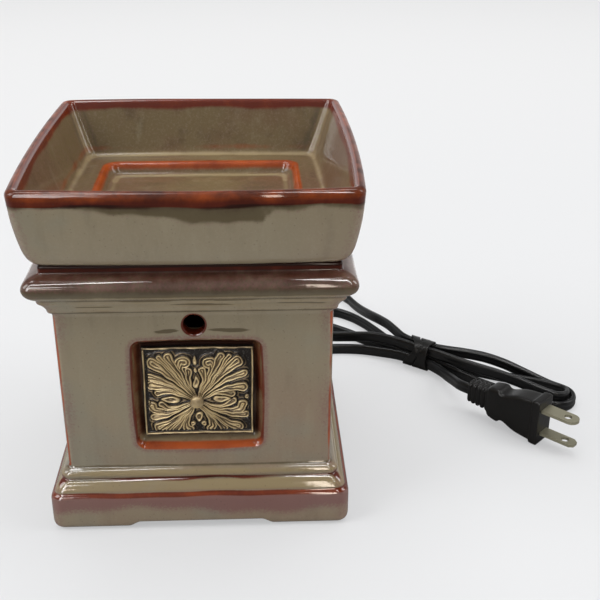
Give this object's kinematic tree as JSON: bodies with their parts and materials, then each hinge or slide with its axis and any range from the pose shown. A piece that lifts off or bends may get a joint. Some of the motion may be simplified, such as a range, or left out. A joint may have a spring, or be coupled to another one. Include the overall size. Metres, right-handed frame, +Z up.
{
  "type": "electric wax warmer",
  "caption": "Electric wax warmer: a glazed square pedestal with a relief tile and a vent, a lift-off square dish on top, a lamp inside and a tied flat cord with plug.",
  "frame": {"origin": "centre of the pedestal on the table plane", "axes": "+Z up; -Y is the front with the relief tile; +X is to the right seen from the front"},
  "size_m": [0.2741, 0.258, 0.1534],
  "materials": {
    "glaze": "gloss",
    "tile_glaze": "gloss",
    "pad_rubber": "matte",
    "plate_steel": "satin",
    "hardware": "satin",
    "socket_plastic": "matte",
    "contact_brass": "satin",
    "clear_glass": "gloss",
    "cord_vinyl": "satin",
    "switch_plastic": "matte",
    "wheel_plastic": "matte",
    "plug_vinyl": "satin",
    "blade_metal": "satin"
  },
  "bodies": {
    "pedestal": {"body_shell": "glaze", "medallion": "tile_glaze", "foot_pads": "pad_rubber", "base_plate": "plate_steel", "plate_screws": "hardware", "plate_nuts": "hardware", "socket_bracket": "hardware", "bracket_rivets": "hardware", "socket_screw": "hardware", "socket_housing": "socket_plastic", "socket_shell": "contact_brass", "socket_contact": "contact_brass", "inner_lead": "cord_vinyl", "cord_relief": "plug_vinyl", "cord_lead": "cord_vinyl", "switch_lower": "switch_plastic", "switch_upper": "switch_plastic", "switch_screws": "hardware", "cord_tail": "cord_vinyl", "cord_hank": "cord_vinyl", "cord_tie": "plug_vinyl", "cord_plug_lead": "cord_vinyl", "plug_body": "plug_vinyl", "plug_blades": "blade_metal"},
    "dish_body": {"dish": "glaze"},
    "lamp": {"bulb_base": "contact_brass", "bulb_contact": "hardware", "bulb_glass": "clear_glass", "bulb_stem": "clear_glass", "bulb_filament": "hardware"},
    "wheel": {"switch_wheel": "wheel_plastic"}
  },
  "joints": [
    {"name": "dish_lift", "type": "slide", "parent": "pedestal", "child": "dish_body", "axis": [0, 0, 1], "range_m": [0, 0.06]},
    {"name": "lamp_turn", "type": "hinge", "parent": "pedestal", "child": "lamp", "pos_m": [0, 0, 0.04], "axis": [0, 0, 1], "range_deg": [0, 1080]},
    {"name": "switch_turn", "type": "hinge", "parent": "pedestal", "child": "wheel", "pos_m": [0.017, 0.18, 0.0075], "axis": [0, 0, 1], "continuous": true}
  ]
}
